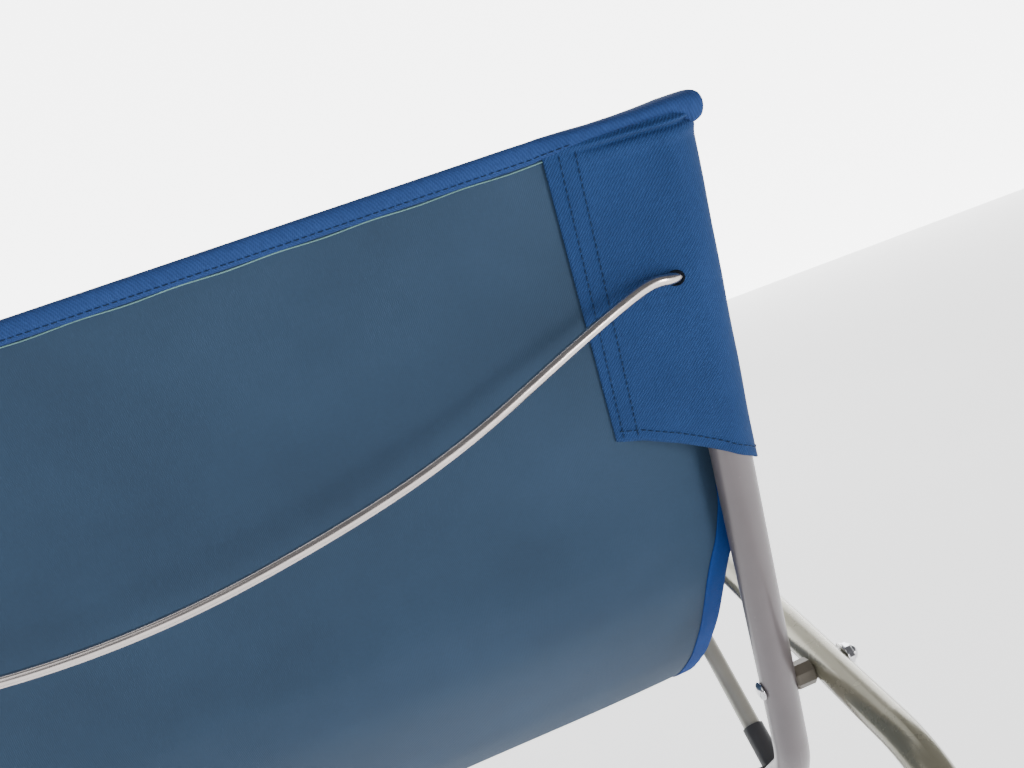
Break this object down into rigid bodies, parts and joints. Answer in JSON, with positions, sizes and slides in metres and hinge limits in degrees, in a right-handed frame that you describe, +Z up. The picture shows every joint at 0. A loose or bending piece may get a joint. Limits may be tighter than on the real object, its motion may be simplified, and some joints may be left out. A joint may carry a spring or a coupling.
{
  "type": "folding beach chair",
  "caption": "Low folding beach chair with crossed tube side frames, a hammock cloth sling and a bent steel back rod.",
  "frame": {"origin": "on the ground, at the centre of the chair's outline", "axes": "+Z up, +Y towards the back of the chair, X sideways; the sitter faces -Y"},
  "size_m": [0.6174, 0.6021, 0.5159],
  "materials": {
    "grey_paint": "satin",
    "champagne_paint": "satin",
    "stay_paint": "satin",
    "rod_steel": "polished",
    "plated_steel": "polished",
    "black_plastic": "matte",
    "bush_plastic": "satin",
    "slate_cloth": "coated back of a polyester weave",
    "blue_cloth": "twill weave"
  },
  "bodies": {
    "back_frame": {"right_back_leg": "grey_paint", "left_back_leg": "grey_paint", "front_foot_tube": "grey_paint", "front_foot_pads": "black_plastic", "front_joint_rivets": "plated_steel", "post_caps": "black_plastic", "back_rod": "rod_steel", "rod_grommets": "black_plastic", "pivot_bolts": "plated_steel", "pivot_spacers": "bush_plastic", "pivot_washers": "plated_steel", "pivot_nuts": "plated_steel", "back_sling": "slate_cloth", "right_pocket": "blue_cloth", "left_pocket": "blue_cloth", "top_hem": "blue_cloth"},
    "seat_frame": {"right_seat_leg": "champagne_paint", "left_seat_leg": "champagne_paint", "rear_foot_tube": "champagne_paint", "rear_foot_pads": "black_plastic", "rear_joint_rivets": "plated_steel", "seat_front_tube": "champagne_paint", "seat_joint_rivets": "plated_steel", "stay_bolts": "plated_steel", "stay_washers": "plated_steel", "stay_nuts": "plated_steel", "seat_sling": "slate_cloth", "front_pocket": "blue_cloth"},
    "right_stay": {"right_stay_tube": "stay_paint", "right_stay_clip": "black_plastic"},
    "left_stay": {"left_stay_tube": "stay_paint", "left_stay_clip": "black_plastic"}
  },
  "joints": [
    {"name": "seat_fold", "type": "hinge", "parent": "back_frame", "child": "seat_frame", "pos_m": [0, 0.0496, 0.225], "axis": [-1, 0, 0], "range_deg": [0, 88]},
    {"name": "right_stay_fold", "type": "hinge", "parent": "seat_frame", "child": "right_stay", "pos_m": [-0.274, -0.20212, 0.2901], "axis": [-1, 0, 0], "range_deg": [-28.6, 0]},
    {"name": "left_stay_fold", "type": "hinge", "parent": "seat_frame", "child": "left_stay", "pos_m": [0.274, -0.20212, 0.2901], "axis": [-1, 0, 0], "range_deg": [-28.6, 0]}
  ],
  "couplings": [
    {"joint": "right_stay_fold", "follows": "seat_fold", "ratio": -0.324},
    {"joint": "left_stay_fold", "follows": "seat_fold", "ratio": -0.324}
  ]
}
